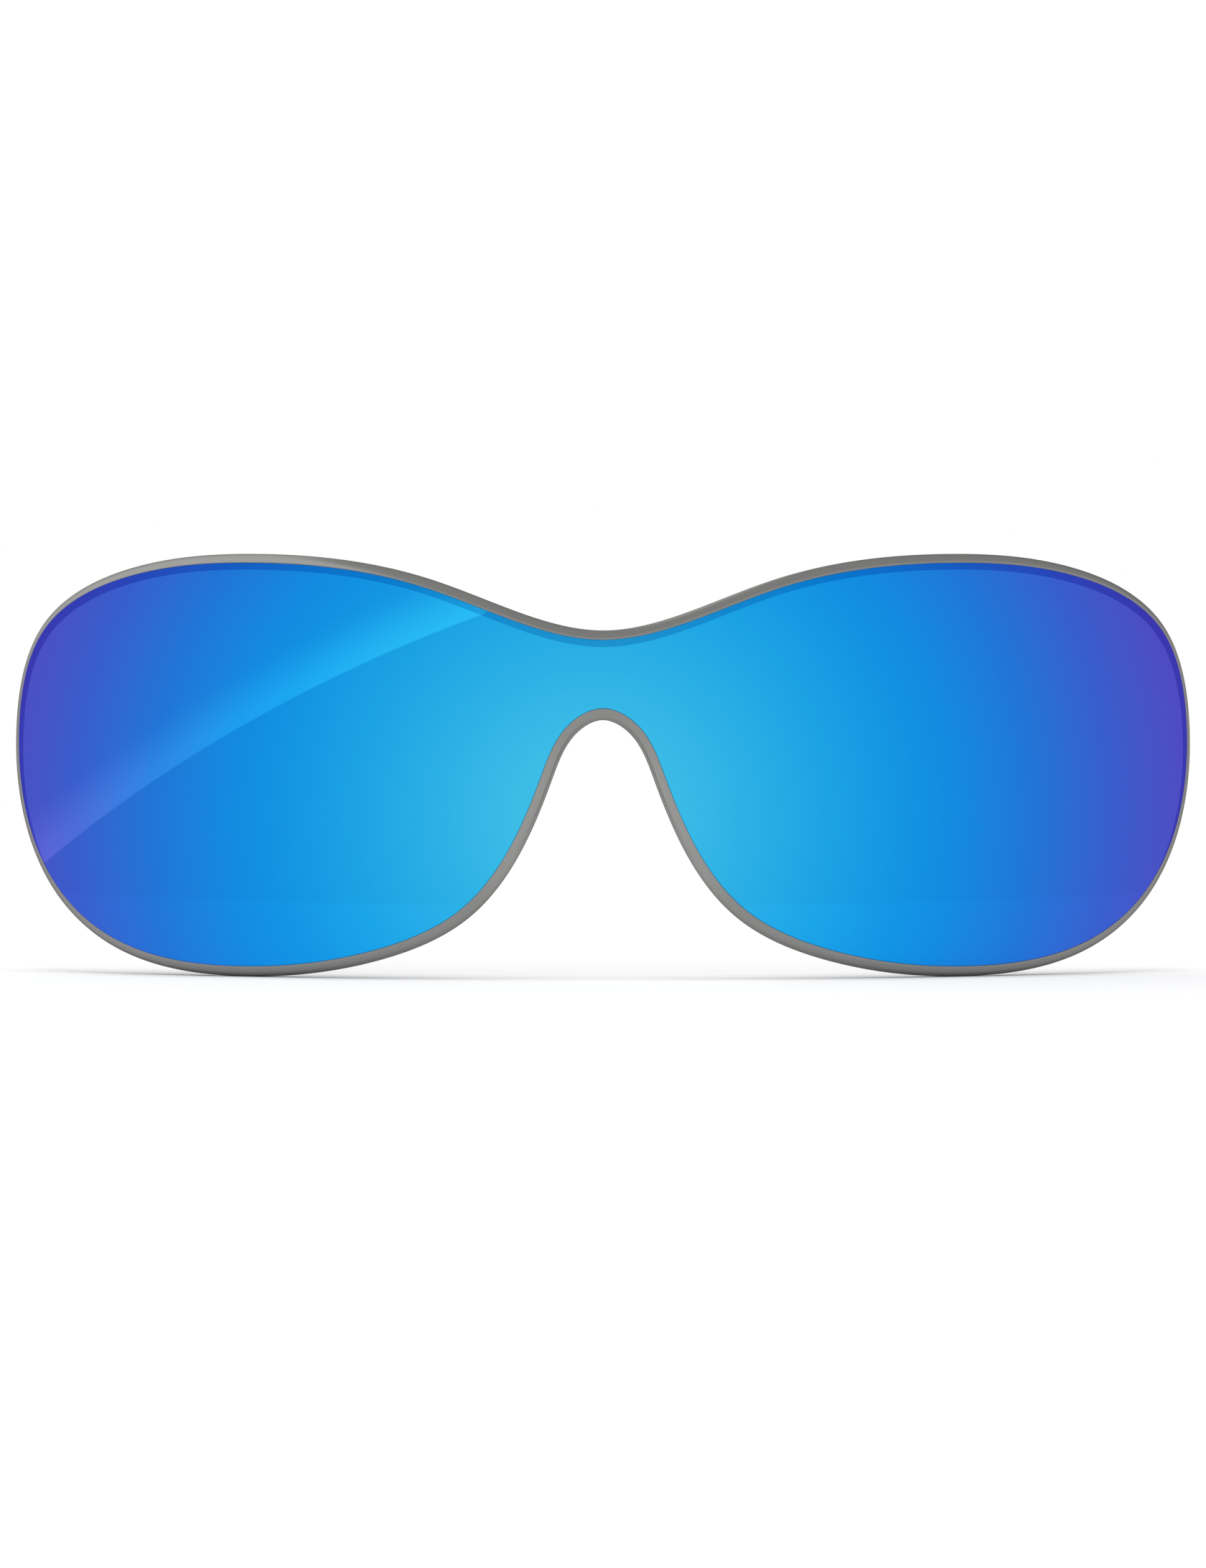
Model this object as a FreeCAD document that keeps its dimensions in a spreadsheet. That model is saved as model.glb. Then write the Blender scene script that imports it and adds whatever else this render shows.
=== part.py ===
# Shield lens for sports eyewear: one wrap lens for both eyes, with a nose arch in its lower edge.
#
# The lens is a bonded stack. A polarising wafer (two sheets glued either side of a film, then a hard
# coat and a mirror coat) lies flush in the front of a moulded body whose bare edge is rounded all
# round, and two thin coats lie flush in the back of it. Every face follows one front surface, or an
# exact offset of it: an arc from cheek to brow, swept about the upright axis of the wrap.
#
# Frame: +X to the wearer's left, -Y ahead of the wearer, +Z up. The origin is on the surface that
# the lens stands on, under the middle of the lens. Sizes are in millimetres.
import FreeCAD, Part
import math
import os
import Sketcher

Vector = FreeCAD.Vector

# Driving dimensions: (name, value, meaning).
SIZES = [
    ("wrap_radius", 105.0, "front surface, round the upright axis of the wrap"),
    ("rise_radius", 400.0, "front surface, from cheek to brow"),
    ("apex_height", 3.0, "height at which the front surface is upright"),
    ("lens_thickness", 2.4, "moulded body with its coats"),
    ("rim_width", 1.2, "bare edge outside the wafer"),
    ("edge_land", 0.05, "flat left beside each rounding of the bare edge"),
    # Front stack from the outside in, then the back stack from the inside out.
    ("mirror_coating_thickness", 0.1, "stands in for a coat of under a micrometre"),
    ("front_hard_coat_thickness", 0.1, "stands in for a lacquer of a few micrometres"),
    ("front_sheet_thickness", 0.3, "outer sheet of the wafer"),
    ("front_adhesive_thickness", 0.1, "glue line, outer"),
    ("polarising_film_thickness", 0.1, "stretched film"),
    ("rear_adhesive_thickness", 0.1, "glue line, inner"),
    ("rear_sheet_thickness", 0.3, "inner sheet of the wafer"),
    ("rear_hard_coat_thickness", 0.1, "stands in for a lacquer of a few micrometres"),
    ("anti_fog_coat_thickness", 0.1, "stands in for a lacquer of a few micrometres"),
    # Edge of the wafer, seen from the front. The other half is its mirror image.
    ("half_width", 68.7, "widest point"),
    ("temple_height", 29.4, "height of the widest point"),
    ("temple_corner_inset", 3.2, "top of the temple, in from the widest point"),
    ("temple_corner_drop", 7.0, "top of the temple, below the brow"),
    ("brow_corner_inset", 15.7, "end of the brow, in from the widest point"),
    ("brow_corner_drop", 0.8, "end of the brow, below its highest point"),
    ("brow_x", 40.7, "highest point"),
    ("brow_height", 47.1, "highest point"),
    ("bridge_shoulder_x", 19.9, "between brow and bridge"),
    ("bridge_shoulder_drop", 3.2, "between brow and bridge, below the brow"),
    ("bridge_height", 38.0, "top edge over the nose"),
    ("nose_height", 30.3, "crown of the nose arch"),
    ("nose_crown_x", 3.8, "shoulder of the crown"),
    ("nose_crown_drop", 1.8, "shoulder of the crown, below it"),
    ("nose_side_x", 7.0, "side of the arch"),
    ("nose_side_drop", 7.8, "side of the arch, below the crown"),
    ("nose_foot_x", 16.2, "where the side turns out to the cheek"),
    ("nose_foot_rise", 6.4, "where the side turns out, above the cheek"),
    ("nose_toe_x", 25.7, "where the side joins the cheek"),
    ("nose_toe_rise", 2.0, "where the side joins, above the cheek"),
    ("cheek_x", 41.5, "lowest point"),
    ("cheek_height", 1.2, "lowest point"),
    ("jaw_inner_inset", 11.1, "inner end of the lower corner, in from the widest point"),
    ("jaw_inner_rise", 3.5, "inner end of the lower corner, above the cheek"),
    ("jaw_outer_inset", 6.5, "outer end of the lower corner, in from the widest point"),
    ("jaw_outer_rise", 7.1, "outer end of the lower corner, above the cheek"),
    # Blanks that the pieces are cut from.
    ("blank_angle", 110.0, "sweep of a blank round the wrap axis, degrees"),
    ("blank_margin", 8.0, "blank above the brow and below the cheek"),
    ("cutter_margin", 1.0, "cutter ahead of the lens and behind it"),
]

# Pieces of the wafer from the outside in, and coats on the back from the body out.
FRONT_STACK = [
    "mirror_coating",
    "front_hard_coat",
    "front_sheet",
    "front_adhesive",
    "polarising_film",
    "rear_adhesive",
    "rear_sheet",
]
REAR_STACK = ["rear_hard_coat", "anti_fog_coat"]

WALL_STATIONS = 180  # places round the edge at which its wall is worked out
TANGENT_STEP = 0.001  # length over which a direction along the surface is taken
POLE_ROUNDS = 150  # times a curve's poles are moved towards meeting its points


def add_sheet(doc):
    """Put the driving dimensions in a spreadsheet, one to a row."""
    sheet = doc.addObject("Spreadsheet::Sheet", "Sizes")
    for row, (name, value, meaning) in enumerate(SIZES, start=1):
        sheet.set(f"A{row}", name)
        sheet.set(f"B{row}", str(value))
        sheet.set(f"C{row}", meaning)
        sheet.setAlias(f"B{row}", name)
    doc.recompute()
    return sheet


def depth_of(pieces):
    """Sheet expression for the thicknesses of some pieces, added up."""
    return " + ".join(["0"] + [f"Sizes.{piece}_thickness" for piece in pieces])


def add_section(body, sheet, name, near, far):
    """Upright section of a blank: two arcs about one centre, joined by a line at either end."""
    section = body.newObject("Sketcher::SketchObject", name + "_section")
    side_plane = [item for item in body.Origin.OriginFeatures if item.Role == "YZ_Plane"][0]
    section.AttachmentSupport = [(side_plane, "")]
    section.MapMode = "FlatFace"

    centre = Vector(sheet.rise_radius - sheet.wrap_radius, sheet.apex_height, 0)
    top = sheet.brow_height + sheet.blank_margin
    low = sheet.cheek_height - sheet.blank_margin
    arcs = []
    for depth in (0, sheet.lens_thickness):
        radius = sheet.rise_radius - depth
        ring = Part.Circle(centre, Vector(0, 0, 1), radius)
        top_angle = math.pi - math.asin((top - centre.y) / radius)
        low_angle = math.pi - math.asin((low - centre.y) / radius)
        arcs.append(Part.ArcOfCircle(ring, top_angle, low_angle))
    lines = [
        Part.LineSegment(arcs[0].StartPoint, arcs[1].StartPoint),
        Part.LineSegment(arcs[0].EndPoint, arcs[1].EndPoint),
    ]
    front, back, top_line, low_line = section.addGeometry(arcs + lines, False)

    start, end, middle = 1, 2, 3
    origin = (-1, 1)
    joins = [
        ((front, middle), (back, middle)),
        ((top_line, start), (front, start)),
        ((top_line, end), (back, start)),
        ((low_line, start), (front, end)),
        ((low_line, end), (back, end)),
    ]
    for one, other in joins:
        section.addConstraint(Sketcher.Constraint("Coincident", *one, *other))
    for line in (top_line, low_line):
        section.addConstraint(Sketcher.Constraint("Horizontal", line))

    rise, height = "Sizes.rise_radius", "Sizes.blank_margin"
    sizes = [
        (("DistanceX", *origin, front, middle), centre.x, f"{rise} - Sizes.wrap_radius"),
        (("DistanceY", *origin, front, middle), centre.y, "Sizes.apex_height"),
        (("DistanceY", *origin, front, start), top, f"Sizes.brow_height + {height}"),
        (("DistanceY", front, end, *origin), -low, f"{height} - Sizes.cheek_height"),
        (("Radius", front), arcs[0].Radius, f"{rise} - ({near})"),
        (("Radius", back), arcs[1].Radius, f"{rise} - ({far})"),
    ]
    for constraint, value, expression in sizes:
        index = section.addConstraint(Sketcher.Constraint(*constraint, value))
        section.setExpression(f"Constraints[{index}]", expression)
    return section


def add_blank(doc, name, near, far):
    """Curved blank between two exact offsets of the front surface.

    near and far are sheet expressions: how far its faces lie behind the front surface. It is
    revolved about the axis of the wrap, and then moved back so that the front surface starts at
    the origin.
    """
    body = doc.addObject("PartDesign::Body", name + "_blank")
    section = add_section(body, doc.Sizes, name, near, far)
    sweep = body.newObject("PartDesign::Revolution", name + "_sweep")
    sweep.Profile = section
    sweep.ReferenceAxis = (section, ["V_Axis"])
    sweep.Midplane = True
    sweep.setExpression("Angle", "Sizes.blank_angle")
    body.setExpression("Placement.Base.y", "Sizes.wrap_radius")
    return body


def closed_spline(points):
    """Cubic through the points with smooth curvature all round, so mirrored points mirror it."""
    chords = [(after - before).Length for before, after in zip(points, points[1:] + points[:1])]
    knots = [sum(chords[:index]) for index in range(len(points) + 1)]
    curve = Part.BSplineCurve()
    poles = points[-1:] + points[:-1]
    for _ in range(POLE_ROUNDS):
        curve.buildFromPolesMultsKnots(poles, [1] * len(knots), knots, True, 3)
        misses = [point - curve.value(knot) for point, knot in zip(points, knots)]
        poles = [pole + miss for pole, miss in zip(poles, misses[-1:] + misses[:-1])]
    return curve


def wafer_edge(sheet):
    """Closed curve of the wafer's edge, seen from the front."""
    half = [
        (0, sheet.nose_height),
        (sheet.nose_crown_x, sheet.nose_height - sheet.nose_crown_drop),
        (sheet.nose_side_x, sheet.nose_height - sheet.nose_side_drop),
        (sheet.nose_foot_x, sheet.cheek_height + sheet.nose_foot_rise),
        (sheet.nose_toe_x, sheet.cheek_height + sheet.nose_toe_rise),
        (sheet.cheek_x, sheet.cheek_height),
        (sheet.half_width - sheet.jaw_inner_inset, sheet.cheek_height + sheet.jaw_inner_rise),
        (sheet.half_width - sheet.jaw_outer_inset, sheet.cheek_height + sheet.jaw_outer_rise),
        (sheet.half_width, sheet.temple_height),
        (sheet.half_width - sheet.temple_corner_inset, sheet.brow_height - sheet.temple_corner_drop),
        (sheet.half_width - sheet.brow_corner_inset, sheet.brow_height - sheet.brow_corner_drop),
        (sheet.brow_x, sheet.brow_height),
        (sheet.bridge_shoulder_x, sheet.brow_height - sheet.bridge_shoulder_drop),
        (0, sheet.bridge_height),
    ]
    other_half = [(-x, z) for x, z in reversed(half[1:-1])]
    return closed_spline([Vector(x, 0, z) for x, z in half + other_half])


def on_front(sheet, x, z):
    """Point of the front surface at x and z, and the direction straight out of it there."""
    rise = z - sheet.apex_height
    lean = sheet.rise_radius - math.sqrt(sheet.rise_radius**2 - rise**2)
    reach = sheet.wrap_radius - lean
    y = sheet.wrap_radius - math.sqrt(reach**2 - x**2)
    up = rise / sheet.rise_radius
    level = math.sqrt(1 - up**2)
    outward = Vector(level * x / reach, -level * math.sqrt(1 - (x / reach) ** 2), up)
    return Vector(x, y, z), outward


def edge_wall(sheet, outset):
    """Wall square to the front surface, outset from the wafer's edge along the surface."""
    edge = wafer_edge(sheet)
    span = edge.LastParameter - edge.FirstParameter
    front_points = []
    back_points = []
    for station in range(WALL_STATIONS):
        parameter = edge.FirstParameter + span * station / WALL_STATIONS
        point = edge.value(parameter)
        step = edge.tangent(parameter)[0] * TANGENT_STEP
        here, outward = on_front(sheet, point.x, point.z)
        ahead, _ = on_front(sheet, point.x + step.x, point.z + step.z)
        sideways = (ahead - here).cross(outward).normalize()
        moved = here + sideways * outset
        foot, outward = on_front(sheet, moved.x, moved.z)
        front_points.append(foot + outward * sheet.cutter_margin)
        back_points.append(foot - outward * (sheet.lens_thickness + sheet.cutter_margin))
    rails = []
    for points in (front_points, back_points):
        rail = Part.BSplineCurve()
        ticks = [tick / WALL_STATIONS for tick in range(WALL_STATIONS + 1)]
        rail.interpolate(Points=points, PeriodicFlag=True, Parameters=ticks)
        rails.append(rail.toShape())
    return Part.makeRuledSurface(*rails)


def add_cutter(doc, name, blank, outset):
    """Solid inside the wall that stands outset from the wafer's edge."""
    sheet = doc.Sizes
    pieces = blank.Shape.generalFuse([edge_wall(sheet, outset)])[0].Solids
    middle = Part.Vertex(0, sheet.lens_thickness / 2, (sheet.nose_height + sheet.bridge_height) / 2)
    cutter = doc.addObject("Part::Feature", name)
    cutter.Shape = min(pieces, key=lambda piece: piece.distToShape(middle)[0])
    cutter.Placement = FreeCAD.Placement()
    return cutter


def add_common(doc, name, base, tool):
    common = doc.addObject("Part::Common", name)
    common.Base = base
    common.Tool = tool
    common.Label = name
    return common


def add_cut(doc, name, base, tool):
    cut = doc.addObject("Part::Cut", name)
    cut.Base = base
    cut.Tool = tool
    cut.Label = name
    return cut


def add_stack(doc, pieces, start, cutter):
    """One solid for each thin piece, each starting where the last one ends."""
    solids = []
    for index, name in enumerate(pieces):
        near = f"{start} + {depth_of(pieces[:index])}"
        far = f"{start} + {depth_of(pieces[:index + 1])}"
        blank = add_blank(doc, name, near, far)
        solids.append(add_common(doc, name, blank, cutter))
    return solids


def add_lens_body(doc, rim_cutter, wafer_cutter):
    """Moulded body: a plate with a flush seat in front and behind, rounded all round its edge."""
    sheet = doc.Sizes
    edge_round = min(sheet.rim_width, sheet.lens_thickness / 2) - sheet.edge_land
    rear_face = f"Sizes.lens_thickness - ({depth_of(REAR_STACK)})"
    plate_blank = add_blank(doc, "plate", "0", "Sizes.lens_thickness")
    front_blank = add_blank(doc, "front_seat", "-Sizes.cutter_margin", depth_of(FRONT_STACK))
    rear_blank = add_blank(doc, "rear_seat", rear_face, "Sizes.lens_thickness + Sizes.cutter_margin")
    plate = add_common(doc, "plate", plate_blank, rim_cutter)
    front_seat = add_common(doc, "front_seat", front_blank, wafer_cutter)
    rear_seat = add_common(doc, "rear_seat", rear_blank, wafer_cutter)
    front_cut = add_cut(doc, "plate_with_front_seat", plate, front_seat)
    both_cut = add_cut(doc, "plate_with_both_seats", front_cut, rear_seat)
    doc.recompute()

    # Every closed edge starts under the nose crown, and the outer ones start lower than the seats'.
    outer_start = sheet.nose_height - sheet.rim_width / 2
    lens_body = doc.addObject("Part::Fillet", "lens_body")
    lens_body.Base = both_cut
    lens_body.Edges = [
        (index, edge_round, edge_round)
        for index, edge in enumerate(both_cut.Shape.Edges, start=1)
        if edge.isClosed() and edge.Vertexes[0].Z < outer_start
    ]
    return lens_body


def check(doc, pieces):
    """Stop if anything failed to build."""
    for item in doc.Objects:
        if "Invalid" in item.State or "Error" in item.State:
            raise RuntimeError(f"{item.Name} did not build: {item.State}")
    for piece in pieces:
        shape = piece.Shape
        if shape.isNull() or not shape.isValid() or len(shape.Solids) != 1:
            raise RuntimeError(f"{piece.Label} is not one valid solid")


def main():
    doc = FreeCAD.newDocument("ShieldLens")
    sheet = add_sheet(doc)
    margin = "Sizes.cutter_margin"
    cutter_blank = add_blank(doc, "cutter", f"-{margin} / 2", f"Sizes.lens_thickness + {margin} / 2")
    doc.recompute()
    wafer_cutter = add_cutter(doc, "wafer_cutter", cutter_blank, 0)
    rim_cutter = add_cutter(doc, "rim_cutter", cutter_blank, sheet.rim_width)

    lens_body = add_lens_body(doc, rim_cutter, wafer_cutter)
    front = add_stack(doc, FRONT_STACK, "0", wafer_cutter)
    rear_start = f"Sizes.lens_thickness - ({depth_of(REAR_STACK)})"
    rear = add_stack(doc, REAR_STACK, rear_start, wafer_cutter)
    pieces = front + [lens_body] + rear
    doc.recompute()

    # Stand the lens on its cheeks, with the origin under its middle.
    extent = lens_body.Shape.optimalBoundingBox(False)
    for piece in pieces:
        piece.Placement = FreeCAD.Placement(
            Vector(0, -extent.Center.y, -extent.ZMin), FreeCAD.Rotation()
        )
    doc.recompute()
    check(doc, pieces)

    os.makedirs("parts", exist_ok=True)
    for piece in pieces:
        piece.Shape.exportStep(f"parts/{piece.Label}.step")
        box = piece.Shape.optimalBoundingBox(False)
        size = f"{box.XLength:.2f} x {box.YLength:.2f} x {box.ZLength:.2f}"
        print(f"{piece.Label}: {piece.Shape.Volume:.1f} mm3, {size}")


main()
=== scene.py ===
import math

import bpy
import numpy as np
from bpy.props import FloatProperty, FloatVectorProperty, IntProperty, PointerProperty
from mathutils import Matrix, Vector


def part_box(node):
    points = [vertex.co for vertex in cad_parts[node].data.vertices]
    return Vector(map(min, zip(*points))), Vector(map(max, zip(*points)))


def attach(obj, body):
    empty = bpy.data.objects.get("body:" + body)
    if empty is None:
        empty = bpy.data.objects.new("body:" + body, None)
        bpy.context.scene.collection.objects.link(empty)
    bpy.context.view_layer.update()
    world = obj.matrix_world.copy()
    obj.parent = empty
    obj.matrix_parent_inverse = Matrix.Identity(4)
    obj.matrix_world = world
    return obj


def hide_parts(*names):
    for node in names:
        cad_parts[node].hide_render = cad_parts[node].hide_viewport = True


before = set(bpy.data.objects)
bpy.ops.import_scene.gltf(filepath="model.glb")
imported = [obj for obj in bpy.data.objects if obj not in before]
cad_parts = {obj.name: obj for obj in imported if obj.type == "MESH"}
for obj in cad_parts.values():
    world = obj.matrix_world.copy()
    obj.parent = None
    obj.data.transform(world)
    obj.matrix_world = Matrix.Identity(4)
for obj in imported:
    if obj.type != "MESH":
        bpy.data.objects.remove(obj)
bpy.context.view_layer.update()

bl_info = {
    "name": "Shield Lens",
    "version": (1, 0, 0),
    "blender": (4, 5, 0),
    "location": "View3D > Sidebar > Shield Lens",
    "description": "Builds a one-piece mirrored shield lens and the studio it stands in",
    "category": "Add Mesh",
}

MM = 0.001
SENSOR_MM = 36


def length(name, description, millimetres):
    """A size in metres, given in millimetres."""
    return FloatProperty(
        name=name, description=description, default=millimetres * MM, unit="LENGTH", precision=5
    )


def edge_point(name, description, x, height):
    """A point of the mirror face's edge, seen from the front, in millimetres."""
    return FloatVectorProperty(
        name=name,
        description=description,
        size=2,
        default=(x * MM, height * MM),
        unit="LENGTH",
        precision=5,
    )


def colour(name, description, red, green, blue):
    """A colour given as display values from 0 to 255."""
    shades = [channel / 255 for channel in (red, green, blue)]
    linear = [s / 12.92 if s <= 0.04045 else ((s + 0.055) / 1.055) ** 2.4 for s in shades]
    return FloatVectorProperty(
        name=name, description=description, subtype="COLOR", size=3, default=linear, min=0, max=1
    )


def shade(name, place, red, green, blue):
    """What the mirror's colour is multiplied by in some place, to paint shade on it."""
    return FloatVectorProperty(
        name=name,
        description="What the mirror's colour is multiplied by " + place,
        subtype="COLOR",
        size=3,
        default=(red, green, blue),
        min=0,
        max=1,
    )


class LensSizes(bpy.types.PropertyGroup):
    """Sizes of the lens, the same as the CAD model's."""

    wrap_radius: length("Wrap radius", "Front surface, round the upright axis of the wrap", 105)
    rise_radius: length("Rise radius", "Front surface, from cheek to brow", 400)
    apex_height: length("Apex height", "Height at which the front surface is upright", 3)
    thickness: length("Thickness", "Moulded body with its coats", 2.4)
    rim_width: length("Rim width", "Bare edge outside the mirror face", 1.2)
    edge_land: length("Edge land", "Flat left beside each rounding of the bare edge", 0.05)
    mirror_thickness: length("Mirror thickness", "Mirror coat", 0.1)
    front_seat: length("Front seat", "Depth of the seat that the wafer lies in", 1.1)
    rear_seat: length("Rear seat", "Depth of the seat behind", 0.2)
    anti_fog_thickness: length("Anti-fog thickness", "Coat on the back", 0.1)
    edge_break: length("Edge break", "Softening of the sharp edges where pieces meet", 0.03)

    nose_crown: edge_point("Nose crown", "Top of the nose arch", 0, 30.3)
    nose_shoulder: edge_point("Nose shoulder", "Shoulder of the nose arch", 3.8, 28.5)
    nose_side: edge_point("Nose side", "Side of the nose arch", 7.0, 22.5)
    nose_foot: edge_point("Nose foot", "Where the side turns out to the cheek", 16.2, 7.6)
    nose_toe: edge_point("Nose toe", "Where the side joins the cheek", 25.7, 3.2)
    cheek: edge_point("Cheek", "Lowest point", 41.5, 1.2)
    jaw_inner: edge_point("Inner jaw", "Inner end of the lower corner", 57.6, 4.7)
    jaw_outer: edge_point("Outer jaw", "Outer end of the lower corner", 62.2, 8.3)
    temple: edge_point("Temple", "Widest point", 68.7, 29.4)
    temple_corner: edge_point("Temple corner", "Top of the temple", 65.5, 40.1)
    brow_corner: edge_point("Brow corner", "End of the brow", 53.0, 46.3)
    brow: edge_point("Brow", "Highest point", 40.7, 47.1)
    bridge_shoulder: edge_point("Bridge shoulder", "Between brow and bridge", 19.9, 43.9)
    bridge: edge_point("Bridge", "Top edge over the nose", 0, 38.0)

    # The mirror's dark band is painted shade: deepest along the brow, narrower at the temples, and
    # a thin line along the cheeks and the nose.
    shade_drop: length("Shade drop", "Height of the mirror's dark margin along the brow", 0.81)
    shade_inset: length("Shade inset", "Width of the mirror's dark margin at the temples", 0.85)
    shade_least: length("Least shade", "Width of the dark line along the cheeks and the nose", 0.06)

    across: IntProperty(name="Across", description="Faces from temple to temple", default=320)
    upward: IntProperty(name="Upward", description="Faces from cheek to brow", default=56)
    round_steps: IntProperty(name="Round steps", description="Faces in each rounding", default=10)


class LensColours(bpy.types.PropertyGroup):
    """Colours of the lens: the mirror's run from the middle out to the temples."""

    mirror_0: colour("Mirror, middle", "Either side of the nose", 60, 189, 231)
    mirror_1: colour("Mirror 1", "Sky blue", 43, 176, 229)
    mirror_2: colour("Mirror 2", "Sky blue, deeper", 27, 162, 228)
    mirror_3: colour("Mirror 3", "Azure", 18, 146, 225)
    mirror_4: colour("Mirror 4", "Azure, deeper", 19, 138, 224)
    mirror_5: colour("Mirror 5", "Blue", 33, 116, 214)
    mirror_6: colour("Mirror 6", "Blue turning violet", 56, 93, 204)
    mirror_7: colour("Mirror, temples", "Violet", 77, 74, 194)
    # Painted shade: what the mirror's colour is multiplied by in its dark band.
    painted_shade_middle: shade("Margin shade", "in its dark margin, near the middle", 0.54, 0.68, 0.80)
    painted_shade_temples: shade(
        "Margin end shade", "in its dark margin, at the temples", 0.55, 0.51, 0.78
    )
    body: colour("Moulded body", "Smoke-grey plastic of the bare edge", 137, 137, 135)
    back: colour("Back", "Smoke grey seen through the anti-fog coat", 38, 39, 42)


class StudioValues(bpy.types.PropertyGroup):
    """Camera, floor and light."""

    camera_distance: length("Camera distance", "Ahead of the lens's apex", 484.8)
    camera_height: length("Camera height", "Above the floor", 21.86)
    focal_length: FloatProperty(
        name="Focal length", description="In millimetres", default=129.73
    )
    floor_size: length("Floor size", "Side of the floor", 8000)
    floor_shade: FloatProperty(
        name="Floor shade", description="How much light the floor sends back", default=0.35
    )
    floor_glow: FloatProperty(
        name="Floor glow", description="Light the floor gives off by itself", default=0.355
    )
    contact_reach: length("Contact reach", "How near the floor darkens under the lens", 6)
    top_light: FloatProperty(
        name="Top light", description="Strength of the lamp straight overhead", default=3.0
    )
    top_light_spread: FloatProperty(
        name="Top light spread",
        description="Width of the lamp straight overhead, as seen from the lens",
        default=math.radians(25),
        subtype="ANGLE",
    )
    wall_light: FloatProperty(
        name="Wall light", description="Brightness of the walls, up to the lamps", default=1.0
    )
    lamp_light: FloatProperty(
        name="Lamp light", description="Brightness of the big lamp, high on the left", default=1.7
    )
    ceiling_light: FloatProperty(
        name="Ceiling light", description="Brightness of everything else overhead", default=0.62
    )
    strip_normal: FloatVectorProperty(
        name="Strip normal",
        description="Axis of the cone that the strip lamp's lower edge lies on",
        size=3,
        default=(-0.0888, 0.1701, 0.9814),
    )
    strip_edge: FloatProperty(
        name="Strip edge", description="Height of the strip lamp's lower edge", default=0.0867
    )
    strip_fade: FloatProperty(
        name="Strip fade", description="Height over which the strip lamp fades", default=0.046
    )
    strip_colour: FloatVectorProperty(
        name="Strip colour",
        description="Light that the strip lamp adds to the wall",
        size=3,
        default=(0.85, 0.36, 0.17),
    )
    overhead_edge: FloatProperty(
        name="Overhead edge", description="Height at which the walls end", default=0.17
    )
    lamp_edge: FloatProperty(
        name="Lamp edge", description="How far out the big lamp's near edge lies", default=0.1
    )
    lamp_normal: FloatVectorProperty(
        name="Lamp normal",
        description="Direction square to the near edge of the big lamp",
        size=3,
        default=(-0.937, 0.284, -0.204),
    )


EDGE_ORDER = (
    "nose_crown",
    "nose_shoulder",
    "nose_side",
    "nose_foot",
    "nose_toe",
    "cheek",
    "jaw_inner",
    "jaw_outer",
    "temple",
    "temple_corner",
    "brow_corner",
    "brow",
    "bridge_shoulder",
    "bridge",
)


class ClosedSpline:
    """Smooth closed curve through points, with the chord lengths between them as its parameter."""

    def __init__(self, points):
        self.points = np.asarray(points, float)
        count = len(self.points)
        ahead = np.roll(self.points, -1, axis=0)
        chords = np.linalg.norm(ahead - self.points, axis=1)
        self.knots = np.r_[0, np.cumsum(chords)]
        matrix = np.zeros((count, count))
        target = np.zeros_like(self.points)
        for i in range(count):
            before, after = chords[i - 1], chords[i]
            matrix[i, i - 1] = after
            matrix[i, i] = 2 * (before + after)
            matrix[i, (i + 1) % count] = before
            slope_before = (self.points[i] - self.points[i - 1]) / before
            slope_after = (ahead[i] - self.points[i]) / after
            target[i] = 3 * (after * slope_before + before * slope_after)
        self.slopes = np.linalg.solve(matrix, target)

    def at(self, parameters):
        """Points at parameters that may run past the end."""
        wrapped = np.mod(parameters, self.knots[-1])
        spans = np.searchsorted(self.knots, wrapped, side="right") - 1
        spans = np.clip(spans, 0, len(self.points) - 1)
        following = (spans + 1) % len(self.points)
        width = (self.knots[spans + 1] - self.knots[spans])[:, None]
        t = (wrapped[:, None] - self.knots[spans][:, None]) / width
        return (
            (1 + 2 * t) * (1 - t) ** 2 * self.points[spans]
            + t * (1 - t) ** 2 * width * self.slopes[spans]
            + t**2 * (3 - 2 * t) * self.points[following]
            + t**2 * (t - 1) * width * self.slopes[following]
        )


def flattened(points, sizes):
    """Points seen from the front, laid out flat: (along the wrap, along the rise)."""
    rise = np.arcsin((points[:, 1] - sizes.apex_height) / sizes.rise_radius)
    reach = sizes.wrap_radius - sizes.rise_radius * (1 - np.cos(rise))
    around = np.arcsin(points[:, 0] / reach)
    return np.c_[around * sizes.wrap_radius, rise * sizes.rise_radius]


# Points measured along a stretch of the edge to space others evenly.
STRETCH_SAMPLES = 4000


def evenly_spaced(curve, start, end, count, sizes):
    """Flat points at equal steps along a stretch of the curve, both ends included."""
    fine = np.linspace(start, end, STRETCH_SAMPLES)
    flat = flattened(curve.at(fine), sizes)
    run = np.r_[0, np.cumsum(np.linalg.norm(np.diff(flat, axis=0), axis=1))]
    steps = np.interp(np.linspace(0, run[-1], count + 1), run, fine)
    return flattened(curve.at(steps), sizes)


def face_edge(sizes):
    """Flat loop of the mirror face's edge, anticlockwise from the lower left corner."""
    half = [np.array(getattr(sizes, name)) for name in EDGE_ORDER]
    other = [point * (-1, 1) for point in reversed(half[1:-1])]
    curve = ClosedSpline(half + other)
    total = curve.knots[-1]
    low = curve.knots[EDGE_ORDER.index("jaw_outer")]
    high = curve.knots[EDGE_ORDER.index("temple_corner")]
    right = evenly_spaced(curve, low, high, sizes.upward, sizes)
    top = evenly_spaced(curve, high, total - high, sizes.across, sizes)
    left = evenly_spaced(curve, total - high, total - low, sizes.upward, sizes)
    bottom = evenly_spaced(curve, -low, low, sizes.across, sizes)
    return np.concatenate([bottom[:-1], right[:-1], top[:-1], left[:-1]])


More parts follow.
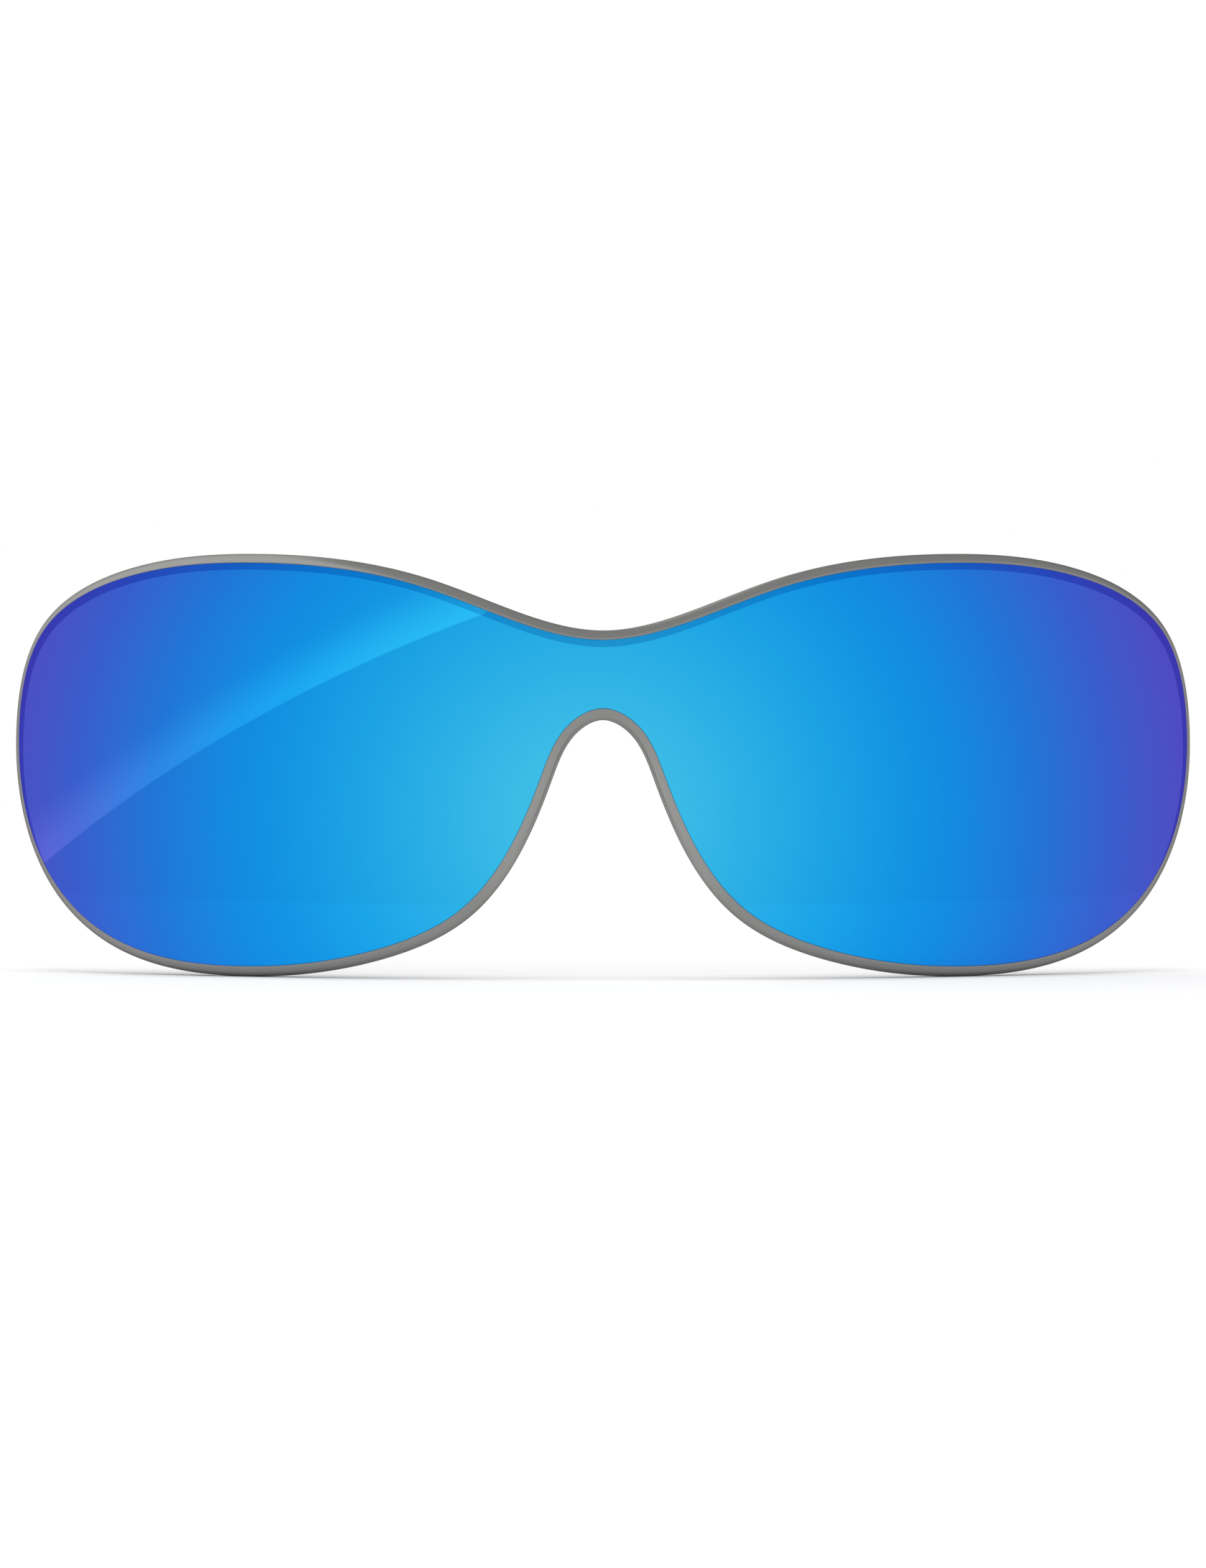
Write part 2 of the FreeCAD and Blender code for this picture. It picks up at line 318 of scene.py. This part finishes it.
def outward_of(loop):
    """Directions straight out of a flat anticlockwise loop."""
    along = np.roll(loop, -1, axis=0) - np.roll(loop, 1, axis=0)
    along /= np.linalg.norm(along, axis=1)[:, None]
    return np.c_[along[:, 1], -along[:, 0]]


class Blank:
    """A closed flat solid in the making: vertices are (along wrap, depth, along rise)."""

    def __init__(self, sizes):
        self.sizes = sizes
        self.edge = face_edge(sizes)
        self.outward = outward_of(self.edge)
        self.vertices = []
        self.faces = []
        self.marked = []

    def loop(self, outset, depth):
        """Add a loop outset from the face's edge, by one distance or one for each station."""
        flat = self.edge + self.outward * np.broadcast_to(outset, len(self.edge))[:, None]
        first = len(self.vertices)
        self.vertices += [(x, depth, z) for x, z in flat]
        return np.arange(first, first + len(flat))

    def band(self, inner, outer, marked=False):
        """Join two loops with faces that look out of the solid."""
        quads = zip(inner, outer, np.roll(outer, -1), np.roll(inner, -1))
        self.faces += [tuple(map(int, quad)) for quad in quads]
        self.marked += [marked] * len(inner)

    def cap(self, loop, turned=False):
        """Fill a loop with a four-sided net of faces."""
        across, upward = self.sizes.across, self.sizes.upward
        ring = np.array([(self.vertices[i][0], self.vertices[i][2]) for i in loop])
        depth = self.vertices[loop[0]][1]
        index = np.empty((across + 1, upward + 1), int)
        index[:, 0] = loop[: across + 1]
        index[-1, :] = loop[across : across + upward + 1]
        index[:, -1] = loop[across + upward : 2 * across + upward + 1][::-1]
        index[0, :] = np.r_[loop[2 * across + upward :], loop[0]][::-1]
        place = {int(vertex): flat for vertex, flat in zip(loop, ring)}
        bottom = np.array([place[int(i)] for i in index[:, 0]])
        top = np.array([place[int(i)] for i in index[:, -1]])
        left = np.array([place[int(i)] for i in index[0, :]])
        right = np.array([place[int(i)] for i in index[-1, :]])
        for i in range(1, across):
            u = i / across
            for j in range(1, upward):
                v = j / upward
                sides = (1 - u) * left[j] + u * right[j]
                ends = (1 - v) * bottom[i] + v * top[i]
                corners = (1 - v) * ((1 - u) * bottom[0] + u * bottom[-1])
                corners = corners + v * ((1 - u) * top[0] + u * top[-1])
                x, z = sides + ends - corners
                index[i, j] = len(self.vertices)
                self.vertices.append((x, depth, z))
        for i in range(across):
            for j in range(upward):
                quad = [index[i, j], index[i + 1, j], index[i + 1, j + 1], index[i, j + 1]]
                quad = quad[::-1] if turned else quad
                self.faces.append(tuple(map(int, quad)))
        self.marked += [False] * (across * upward)

    def mesh(self, name):
        """Mesh of the flat solid, with the faces of its painted shade band marked."""
        mesh = bpy.data.meshes.new(name)
        mesh.from_pydata(self.vertices, [], self.faces)
        mesh.attributes.new("margin", "BOOLEAN", "FACE").data.foreach_set("value", self.marked)
        mesh.polygons.foreach_set("use_smooth", [True] * len(self.faces))
        mesh.update()
        return mesh


def calculate(tree, operation, *values):
    """Math node on sockets or numbers."""
    node = tree.nodes.new("ShaderNodeMath")
    node.operation = operation
    for socket, value in zip(node.inputs, values):
        if isinstance(value, bpy.types.NodeSocket):
            tree.links.new(value, socket)
        else:
            socket.default_value = value
    return node.outputs[0]


def wrap_tree():
    """Bends a flat solid onto the wrap: its x runs round the wrap, y behind the front, z up."""
    tree = bpy.data.node_groups.new("Wrap round the face", "GeometryNodeTree")
    tree.is_modifier = True
    inputs = (
        ("Solid", "NodeSocketGeometry"),
        ("Wrap Radius", "NodeSocketFloat"),
        ("Rise Radius", "NodeSocketFloat"),
        ("Apex Height", "NodeSocketFloat"),
        ("Forward", "NodeSocketFloat"),
        ("Up", "NodeSocketFloat"),
        ("Material", "NodeSocketMaterial"),
        ("Painted Shade Material", "NodeSocketMaterial"),
    )
    for name, kind in inputs:
        tree.interface.new_socket(name, in_out="INPUT", socket_type=kind)
    tree.interface.new_socket("Piece", in_out="OUTPUT", socket_type="NodeSocketGeometry")
    given = tree.nodes.new("NodeGroupInput").outputs
    wrap, rise = given["Wrap Radius"], given["Rise Radius"]

    position = tree.nodes.new("GeometryNodeInputPosition")
    flat = tree.nodes.new("ShaderNodeSeparateXYZ")
    tree.links.new(position.outputs[0], flat.inputs[0])
    around = calculate(tree, "DIVIDE", flat.outputs["X"], wrap)
    upward = calculate(tree, "DIVIDE", flat.outputs["Z"], rise)
    arc = calculate(tree, "SUBTRACT", rise, flat.outputs["Y"])
    hub = calculate(tree, "SUBTRACT", wrap, rise)
    arm = calculate(tree, "MULTIPLY", arc, calculate(tree, "COSINE", upward))
    reach = calculate(tree, "ADD", hub, arm)
    sideways = calculate(tree, "MULTIPLY", reach, calculate(tree, "SINE", around))
    ahead = calculate(tree, "MULTIPLY", reach, calculate(tree, "COSINE", around))
    depth = calculate(tree, "ADD", calculate(tree, "SUBTRACT", wrap, ahead), given["Forward"])
    lift = calculate(tree, "MULTIPLY", arc, calculate(tree, "SINE", upward))
    base = calculate(tree, "ADD", given["Apex Height"], given["Up"])
    height = calculate(tree, "ADD", lift, base)
    place = tree.nodes.new("ShaderNodeCombineXYZ")
    for axis, value in zip("XYZ", (sideways, depth, height)):
        tree.links.new(value, place.inputs[axis])

    bend = tree.nodes.new("GeometryNodeSetPosition")
    tree.links.new(given["Solid"], bend.inputs["Geometry"])
    tree.links.new(place.outputs[0], bend.inputs["Position"])
    realize = tree.nodes.new("GeometryNodeRealizeInstances")
    tree.links.new(bend.outputs[0], realize.inputs[0])
    # Faces marked "margin" are the band of painted shade and get the second material.
    margin = tree.nodes.new("GeometryNodeInputNamedAttribute")
    margin.data_type = "BOOLEAN"
    margin.inputs["Name"].default_value = "margin"
    paint = tree.nodes.new("GeometryNodeSetMaterial")
    tree.links.new(realize.outputs[0], paint.inputs["Geometry"])
    tree.links.new(given["Material"], paint.inputs["Material"])
    set_painted_shade = tree.nodes.new("GeometryNodeSetMaterial")
    tree.links.new(paint.outputs[0], set_painted_shade.inputs["Geometry"])
    tree.links.new(margin.outputs["Attribute"], set_painted_shade.inputs["Selection"])
    tree.links.new(given["Painted Shade Material"], set_painted_shade.inputs["Material"])
    made = tree.nodes.new("NodeGroupOutput")
    tree.links.new(set_painted_shade.outputs[0], made.inputs[0])
    return tree


def standing_shift(sizes):
    """How far the wrap's own frame is moved, forward and up, to stand the lens on the floor."""
    flat = face_edge(sizes)
    lowest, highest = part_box("mirror_coating")
    rise = flat[:, 1] / sizes.rise_radius
    reach = sizes.wrap_radius - sizes.rise_radius * (1 - np.cos(rise))
    depth = sizes.wrap_radius - reach * np.cos(flat[:, 0] / sizes.wrap_radius)
    height = sizes.apex_height + sizes.rise_radius * np.sin(rise)
    forward = lowest[1] - depth.min()
    up = (lowest[2] + highest[2] - height.min() - height.max()) / 2
    return forward, up


# Edges between faces that turn by more than this stay sharp.
SHARP_TURN = math.radians(30)


def wrapped_piece(context, name, blank, material, painted_shade_material):
    """Finished piece from a flat solid, bent onto the wrap and given its materials."""
    sizes = context.scene.lens_sizes
    forward, up = standing_shift(sizes)
    flat = bpy.data.objects.new(name + "_flat", blank.mesh(name + "_flat"))
    context.scene.collection.objects.link(flat)
    modifier = flat.modifiers.new("Wrap", "NODES")
    modifier.node_group = bpy.data.node_groups.get("Wrap round the face") or wrap_tree()
    values = {
        "Wrap Radius": sizes.wrap_radius,
        "Rise Radius": sizes.rise_radius,
        "Apex Height": sizes.apex_height,
        "Forward": forward,
        "Up": up,
        "Material": material,
        "Painted Shade Material": painted_shade_material,
    }
    for item in modifier.node_group.interface.items_tree:
        if item.in_out == "INPUT" and item.name in values:
            modifier[item.identifier] = values[item.name]
    evaluated = flat.evaluated_get(context.evaluated_depsgraph_get())
    mesh = bpy.data.meshes.new_from_object(evaluated)
    bpy.data.objects.remove(flat)
    mesh.name = name
    mesh.set_sharp_from_angle(angle=SHARP_TURN)
    piece = bpy.data.objects.new(name, mesh)
    context.scene.collection.objects.link(piece)
    return piece


def fit(piece, node):
    """Put a piece in the place of its CAD node."""
    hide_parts(node)
    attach(piece, "root")


# Kinds of noise: repeats in a metre, and detail.
POLISH_NOISE = (90, 3)
TINT_NOISE = (60, 4)
GLOSS_NOISE = (140, 3)
FINE_GRAIN = (1500, 2)
SOFT_GRAIN = (400, 2)


def linked_noise(tree, kind):
    """Noise of one kind on the piece's own coordinates."""
    scale, detail = kind
    place = tree.nodes.new("ShaderNodeTexCoord")
    noise = tree.nodes.new("ShaderNodeTexNoise")
    noise.inputs["Scale"].default_value = scale
    noise.inputs["Detail"].default_value = detail
    tree.links.new(place.outputs["Object"], noise.inputs["Vector"])
    return noise.outputs["Fac"]


def ranged(tree, value, low, high):
    """Value from 0 to 1 spread between low and high."""
    node = tree.nodes.new("ShaderNodeMapRange")
    tree.links.new(value, node.inputs["Value"])
    node.inputs["To Min"].default_value = low
    node.inputs["To Max"].default_value = high
    return node.outputs["Result"]


def new_material(name):
    """Material with its node tree and its shader."""
    material = bpy.data.materials.new(name)
    material.use_nodes = True
    tree = material.node_tree
    return material, tree, tree.nodes["Principled BSDF"]


# Sockets of a Mix node that mixes colours.
MIX_A = 6
MIX_B = 7
MIX_RESULT = 2


def colour_mix(tree, first, second, factor, blend="MIX"):
    """Mix of two colours; each of them, and the factor, is a socket or a value."""
    node = tree.nodes.new("ShaderNodeMix")
    node.data_type = "RGBA"
    node.blend_type = blend
    given = ((node.inputs[MIX_A], first), (node.inputs[MIX_B], second))
    for socket, value in (*given, (node.inputs["Factor"], factor)):
        if isinstance(value, bpy.types.NodeSocket):
            tree.links.new(value, socket)
        else:
            socket.default_value = value
    return node.outputs[MIX_RESULT]


# Where the mirror's colours lie: distance from its middle, and the middle itself.
MIRROR_STOPS_MM = (8.3, 17.7, 27.2, 36.6, 41.3, 50.8, 60.2, 69.6)
MIRROR_MIDDLE_MM = (-1.3, 18.3)
MIRROR_REACH_MM = 80.0
MIRROR_POLISH = (0.006, 0.02)
# Where the painted shade band's first shade ends and its second is reached.
PAINTED_SHADE_TURN_MM = (28, 69.6)


def mirror_material(name, colours, shades=None):
    """Metal coat whose colour runs out from the middle to the temples, darkened by painted shade
    where shades are given.
    """
    material, tree, shader = new_material(name)
    place = tree.nodes.new("ShaderNodeTexCoord")
    centre = tree.nodes.new("ShaderNodeMapping")
    scale = 1000 / MIRROR_REACH_MM
    middle_x, middle_z = (-value * MM * scale for value in MIRROR_MIDDLE_MM)
    centre.inputs["Location"].default_value = (middle_x, 0, middle_z)
    centre.inputs["Scale"].default_value = (scale, 0, scale)
    distance = tree.nodes.new("ShaderNodeVectorMath")
    distance.operation = "LENGTH"
    ramp = tree.nodes.new("ShaderNodeValToRGB")
    tree.links.new(place.outputs["Object"], centre.inputs["Vector"])
    tree.links.new(centre.outputs[0], distance.inputs[0])
    tree.links.new(distance.outputs["Value"], ramp.inputs["Fac"])
    stops = ramp.color_ramp.elements
    while len(stops) < len(MIRROR_STOPS_MM):
        stops.new(0.5)
    for index, radius in enumerate(MIRROR_STOPS_MM):
        stops[index].position = radius / MIRROR_REACH_MM
    for index in range(len(MIRROR_STOPS_MM)):
        stops[index].color = (*getattr(colours, f"mirror_{index}"), 1)
    tint = ramp.outputs["Color"]
    # Painted shade: the colour is multiplied darker, by one shade near the middle and another at
    # the temples.
    if shades is not None:
        start, end = (radius / MIRROR_REACH_MM for radius in PAINTED_SHADE_TURN_MM)
        turn = eased(tree, distance.outputs["Value"], start, end)
        inner, outer = ((*shade, 1) for shade in shades)
        tint = colour_mix(tree, tint, colour_mix(tree, inner, outer, turn), 1, "MULTIPLY")
    tree.links.new(tint, shader.inputs["Base Color"])
    shader.inputs["Metallic"].default_value = 1
    polish = ranged(tree, linked_noise(tree, POLISH_NOISE), *MIRROR_POLISH)
    tree.links.new(polish, shader.inputs["Roughness"])
    return material


# Share by which a plastic's roughness varies either way, and the height of its grain.
GLOSS_VARIATION = 0.15
GRAIN_HEIGHT_MM = 0.02


def plastic_material(name, tint, roughness, variation=0.04, grain=FINE_GRAIN, depth=0.02):
    """Moulded or rolled plastic with a faint grain and uneven gloss, and its shader."""
    material, tree, shader = new_material(name)
    dark, light = (
        (*[channel * (1 + side * variation) for channel in tint], 1) for side in (-1, 1)
    )
    mottle = colour_mix(tree, dark, light, linked_noise(tree, TINT_NOISE))
    tree.links.new(mottle, shader.inputs["Base Color"])
    glossiest = roughness * (1 - GLOSS_VARIATION)
    roughest = roughness * (1 + GLOSS_VARIATION)
    gloss = ranged(tree, linked_noise(tree, GLOSS_NOISE), glossiest, roughest)
    tree.links.new(gloss, shader.inputs["Roughness"])
    bump = tree.nodes.new("ShaderNodeBump")
    bump.inputs["Strength"].default_value = depth
    bump.inputs["Distance"].default_value = GRAIN_HEIGHT_MM * MM
    tree.links.new(linked_noise(tree, grain), bump.inputs["Height"])
    tree.links.new(bump.outputs[0], shader.inputs["Normal"])
    return material, shader


# Smoke moulding: its finish, and the painted light that makes it paler round the middle of the nose
# arch, fully within one distance and not at all past another.
BODY_ROUGHNESS = 0.2
BODY_METALLIC = 0.6
BODY_EDGE_TINT = 0.3
BODY_VARIATION = 0.02
BODY_GRAIN_DEPTH = 0.004
ARCH_MIDDLE_MM = (0, 0, 14)
ARCH_LIT_MM = (9, 17)
ARCH_LIGHT_GAIN = 1.2


def paint_light_on_arch(tree, shader):
    """Paint light on a shader's colour, making it paler round the nose arch."""
    place = tree.nodes.new("ShaderNodeTexCoord")
    flat = tree.nodes.new("ShaderNodeVectorMath")
    flat.operation = "MULTIPLY_ADD"
    flat.inputs[1].default_value = (1 / MM, 0, 1 / MM)
    flat.inputs[2].default_value = [-value for value in ARCH_MIDDLE_MM]
    distance = tree.nodes.new("ShaderNodeVectorMath")
    distance.operation = "LENGTH"
    tree.links.new(place.outputs["Object"], flat.inputs[0])
    tree.links.new(flat.outputs[0], distance.inputs[0])
    pale, plain = ARCH_LIT_MM
    near = eased(tree, distance.outputs["Value"], plain, pale)
    gain = calculate(tree, "MULTIPLY_ADD", near, ARCH_LIGHT_GAIN - 1, 1)
    tinted = shader.inputs["Base Color"].links[0].from_socket
    scaled = tree.nodes.new("ShaderNodeVectorMath")
    scaled.operation = "SCALE"
    tree.links.new(tinted, scaled.inputs[0])
    tree.links.new(gain, scaled.inputs["Scale"])
    tree.links.new(scaled.outputs[0], shader.inputs["Base Color"])


def smoke_moulding(tint):
    """Half metallic grey of the bare edge, without glare where it turns away."""
    material, shader = plastic_material(
        "smoke_moulding", tint, BODY_ROUGHNESS, BODY_VARIATION, SOFT_GRAIN, BODY_GRAIN_DEPTH
    )
    # Painted light: the bare edge is paler round the nose arch.
    paint_light_on_arch(material.node_tree, shader)
    shader.inputs["Metallic"].default_value = BODY_METALLIC
    shader.inputs["Specular IOR Level"].default_value = 0
    shader.inputs["Specular Tint"].default_value = (*[BODY_EDGE_TINT] * 3, 1)
    return material


# Roughness of the anti-fog coat, and how much the sealed layers' tint varies.
BACK_ROUGHNESS = 0.08
LAYER_VARIATION = 0.03


class LENS_OT_mirror_face(bpy.types.Operator):
    """Mirror coat: the thin coloured face, with painted shade in a dark band along the brow and the
    temples
    """

    bl_idname = "lens.mirror_face"
    bl_label = "Mirror face"

    def execute(self, context):
        sizes = context.scene.lens_sizes
        colours = context.scene.lens_colours
        blank = Blank(sizes)
        # Width of the band of painted shade at each station of the edge.
        reach = np.abs(blank.edge[:, 0]).max()
        drop = sizes.shade_drop * blank.outward[:, 1]
        inset = sizes.shade_inset * blank.outward[:, 0] * blank.edge[:, 0] / reach
        margin = np.maximum(drop + inset, sizes.shade_least)
        inner = blank.loop(-margin, 0)
        outer = blank.loop(-sizes.edge_break, 0)
        broken = blank.loop(0, sizes.edge_break)
        back = blank.loop(0, sizes.mirror_thickness)
        blank.cap(inner)
        blank.band(inner, outer, marked=True)
        blank.band(outer, broken)
        blank.band(broken, back)
        blank.cap(back, turned=True)
        face = mirror_material("mirror_coat", colours)
        # Second material: the mirror with painted shade, for the marked band.
        shades = (colours.painted_shade_middle, colours.painted_shade_temples)
        painted_shade_face = mirror_material("mirror_coat_painted_shade", colours, shades)
        piece = wrapped_piece(context, "mirror_face", blank, face, painted_shade_face)
        fit(piece, "mirror_coating")
        return {"FINISHED"}


class LENS_OT_moulded_body(bpy.types.Operator):
    """Moulded body: the bare edge, rounded all round, with a seat in front and behind"""

    bl_idname = "lens.moulded_body"
    bl_label = "Moulded body"

    def execute(self, context):
        sizes = context.scene.lens_sizes
        colours = context.scene.lens_colours
        radius = sizes.rim_width - sizes.edge_land
        quarter = [math.pi / 2 * step / sizes.round_steps for step in range(sizes.round_steps + 1)]
        front = [
            (sizes.edge_land + radius * math.sin(turn), radius * (1 - math.cos(turn)))
            for turn in quarter
        ]
        rear = [(outset, sizes.thickness - depth) for outset, depth in reversed(front)]
        profile = [
            (0, sizes.front_seat),
            (0, sizes.edge_break),
            (sizes.edge_break, 0),
            *front,
            *rear,
            (sizes.edge_break, sizes.thickness),
            (0, sizes.thickness - sizes.edge_break),
            (0, sizes.thickness - sizes.rear_seat),
        ]
        blank = Blank(sizes)
        loops = [blank.loop(outset, depth) for outset, depth in profile]
        blank.cap(loops[0])
        for inner, outer in zip(loops, loops[1:]):
            blank.band(inner, outer)
        blank.cap(loops[-1], turned=True)
        plastic = smoke_moulding(colours.body)
        piece = wrapped_piece(context, "moulded_body", blank, plastic, plastic)
        fit(piece, "lens_body")
        return {"FINISHED"}


class LENS_OT_anti_fog_face(bpy.types.Operator):
    """Anti-fog coat: the thin clear face on the back of the lens"""

    bl_idname = "lens.anti_fog_face"
    bl_label = "Anti-fog face"

    def execute(self, context):
        sizes = context.scene.lens_sizes
        colours = context.scene.lens_colours
        blank = Blank(sizes)
        front = blank.loop(0, sizes.thickness - sizes.anti_fog_thickness)
        broken = blank.loop(0, sizes.thickness - sizes.edge_break)
        back = blank.loop(-sizes.edge_break, sizes.thickness)
        blank.cap(front)
        blank.band(front, broken)
        blank.band(broken, back)
        blank.cap(back, turned=True)
        gloss, _ = plastic_material("anti_fog_gloss", colours.back, BACK_ROUGHNESS)
        piece = wrapped_piece(context, "anti_fog_face", blank, gloss, gloss)
        fit(piece, "anti_fog_coat")
        return {"FINISHED"}


# Sealed layers: node, colour, roughness.
INNER_LAYERS = (
    ("front_hard_coat", (0.62, 0.64, 0.66), 0.12),
    ("front_sheet", (0.10, 0.105, 0.11), 0.20),
    ("front_adhesive", (0.56, 0.56, 0.54), 0.30),
    ("polarising_film", (0.02, 0.02, 0.024), 0.25),
    ("rear_adhesive", (0.56, 0.56, 0.54), 0.30),
    ("rear_sheet", (0.10, 0.105, 0.11), 0.20),
    ("rear_hard_coat", (0.62, 0.64, 0.66), 0.12),
)


class LENS_OT_inner_layers(bpy.types.Operator):
    """Finishes of the layers sealed between the mirror coat and the anti-fog coat"""

    bl_idname = "lens.inner_layers"
    bl_label = "Inner layers"

    def execute(self, context):
        for node, tint, roughness in INNER_LAYERS:
            material, _ = plastic_material(node + "_finish", tint, roughness, LAYER_VARIATION)
            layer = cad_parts[node]
            layer.data.materials.clear()
            layer.data.materials.append(material)
        return {"FINISHED"}


# How softly the big lamp and the overhead zone begin.
LAMP_BLEND = 0.05
OVERHEAD_BLEND = 0.1


def height_over(tree, direction, normal, edge):
    """How far a direction lies on the near side of a plane through the middle, past an edge."""
    dot = tree.nodes.new("ShaderNodeVectorMath")
    dot.operation = "DOT_PRODUCT"
    tree.links.new(direction, dot.inputs[0])
    dot.inputs[1].default_value = normal
    return calculate(tree, "SUBTRACT", dot.outputs["Value"], edge)


def eased(tree, value, start, end):
    """0 before start, 1 after end, smooth between them."""
    node = tree.nodes.new("ShaderNodeMapRange")
    node.interpolation_type = "SMOOTHSTEP"
    tree.links.new(value, node.inputs["Value"])
    node.inputs["From Min"].default_value = start
    node.inputs["From Max"].default_value = end
    return node.outputs["Result"]


def studio_world(studio):
    """White walls, a dimmer ceiling, a big lamp high on the left and a strip lamp below it."""
    world = bpy.data.worlds.new("studio")
    world.use_nodes = True
    tree = world.node_tree
    direction = tree.nodes.new("ShaderNodeTexCoord").outputs["Generated"]
    height = height_over(tree, direction, studio.strip_normal, studio.strip_edge)
    side = height_over(tree, direction, studio.lamp_normal, studio.lamp_edge)

    edge = calculate(tree, "GREATER_THAN", height, 0)
    fade = eased(tree, height, studio.strip_fade, 0)
    strip = calculate(tree, "MULTIPLY", edge, fade)
    lamp = eased(tree, side, -LAMP_BLEND, LAMP_BLEND)
    gain = studio.lamp_light - studio.ceiling_light
    above = calculate(tree, "MULTIPLY_ADD", lamp, gain, studio.ceiling_light)
    overhead = eased(tree, height, studio.overhead_edge, studio.overhead_edge + OVERHEAD_BLEND)
    rise = calculate(tree, "SUBTRACT", above, studio.wall_light)
    light = calculate(tree, "MULTIPLY_ADD", overhead, rise, studio.wall_light)

    glow = tree.nodes.new("ShaderNodeVectorMath")
    glow.operation = "SCALE"
    glow.inputs[0].default_value = studio.strip_colour
    tree.links.new(strip, glow.inputs["Scale"])
    total = tree.nodes.new("ShaderNodeVectorMath")
    total.operation = "ADD"
    tree.links.new(glow.outputs[0], total.inputs[0])
    tree.links.new(light, total.inputs[1])
    tree.links.new(total.outputs[0], tree.nodes["Background"].inputs["Color"])
    return world


def make_floor(context, studio):
    """White floor that gives some light of its own, except close to what stands on it."""
    half = studio.floor_size / 2
    mesh = bpy.data.meshes.new("floor")
    corners = [(-half, -half, 0), (half, -half, 0), (half, half, 0), (-half, half, 0)]
    mesh.from_pydata(corners, [], [(0, 1, 2, 3)])
    floor = bpy.data.objects.new("floor", mesh)
    context.scene.collection.objects.link(floor)
    material, tree, shader = new_material("white_floor")
    shade = studio.floor_shade
    shader.inputs["Base Color"].default_value = (shade, shade, shade, 1)
    shader.inputs["Roughness"].default_value = 1
    shader.inputs["Specular IOR Level"].default_value = 0
    shader.inputs["Emission Color"].default_value = (1, 1, 1, 1)
    contact = tree.nodes.new("ShaderNodeAmbientOcclusion")
    contact.inputs["Distance"].default_value = studio.contact_reach
    glow = calculate(tree, "MULTIPLY", contact.outputs["AO"], studio.floor_glow)
    tree.links.new(glow, shader.inputs["Emission Strength"])
    mesh.materials.append(material)
    return floor


def make_top_light(context, studio, floor):
    """Lamp straight overhead that lights the floor alone, and so gives the lens its shadow."""
    lamp = bpy.data.objects.new("top_light", bpy.data.lights.new("top_light", "SUN"))
    lamp.data.energy = studio.top_light
    lamp.data.angle = studio.top_light_spread
    lamp.visible_glossy = False
    lit = bpy.data.collections.new("lit_by_top_light")
    lit.objects.link(floor)
    lamp.light_linking.receiver_collection = lit
    context.scene.collection.objects.link(lamp)


# Nearest and farthest that the camera sees, in metres.
CLIP_START = 0.01
CLIP_END = 50


def make_camera(context, studio, forward):
    """Level camera ahead of the lens's apex, whose shift forward is given."""
    camera = bpy.data.objects.new("camera", bpy.data.cameras.new("camera"))
    camera.data.sensor_fit = "HORIZONTAL"
    camera.data.sensor_width = SENSOR_MM
    camera.data.lens = studio.focal_length
    camera.data.clip_start = CLIP_START
    camera.data.clip_end = CLIP_END
    camera.location = (0, forward - studio.camera_distance, studio.camera_height)
    camera.rotation_euler = (math.pi / 2, 0, 0)
    context.scene.collection.objects.link(camera)
    context.scene.camera = camera


class LENS_OT_studio(bpy.types.Operator):
    """White floor, soft light all round, and the camera"""

    bl_idname = "lens.studio"
    bl_label = "Studio"

    def execute(self, context):
        studio = context.scene.studio_values
        floor = make_floor(context, studio)
        context.scene.world = studio_world(studio)
        context.scene.view_settings.view_transform = "Standard"
        make_top_light(context, studio, floor)
        forward, _ = standing_shift(context.scene.lens_sizes)
        make_camera(context, studio, forward)
        return {"FINISHED"}


class LENS_PT_panel(bpy.types.Panel):
    bl_idname = "LENS_PT_panel"
    bl_label = "Shield Lens"
    bl_space_type = "VIEW_3D"
    bl_region_type = "UI"
    bl_category = "Shield Lens"

    def draw(self, context):
        for step in STEPS:
            self.layout.operator(step.bl_idname)


STEPS = (
    LENS_OT_mirror_face,
    LENS_OT_moulded_body,
    LENS_OT_anti_fog_face,
    LENS_OT_inner_layers,
    LENS_OT_studio,
)
GROUPS = (
    ("lens_sizes", LensSizes),
    ("lens_colours", LensColours),
    ("studio_values", StudioValues),
)


def register():
    for name, group in GROUPS:
        bpy.utils.register_class(group)
        setattr(bpy.types.Scene, name, PointerProperty(type=group))
    for step in STEPS:
        bpy.utils.register_class(step)
    bpy.utils.register_class(LENS_PT_panel)


def unregister():
    bpy.utils.unregister_class(LENS_PT_panel)
    for step in reversed(STEPS):
        bpy.utils.unregister_class(step)
    for name, group in reversed(GROUPS):
        delattr(bpy.types.Scene, name)
        bpy.utils.unregister_class(group)


def main():
    register()
    bpy.ops.lens.mirror_face()
    bpy.ops.lens.moulded_body()
    bpy.ops.lens.anti_fog_face()
    bpy.ops.lens.inner_layers()
    bpy.ops.lens.studio()


if __name__ == "__main__":
    main()
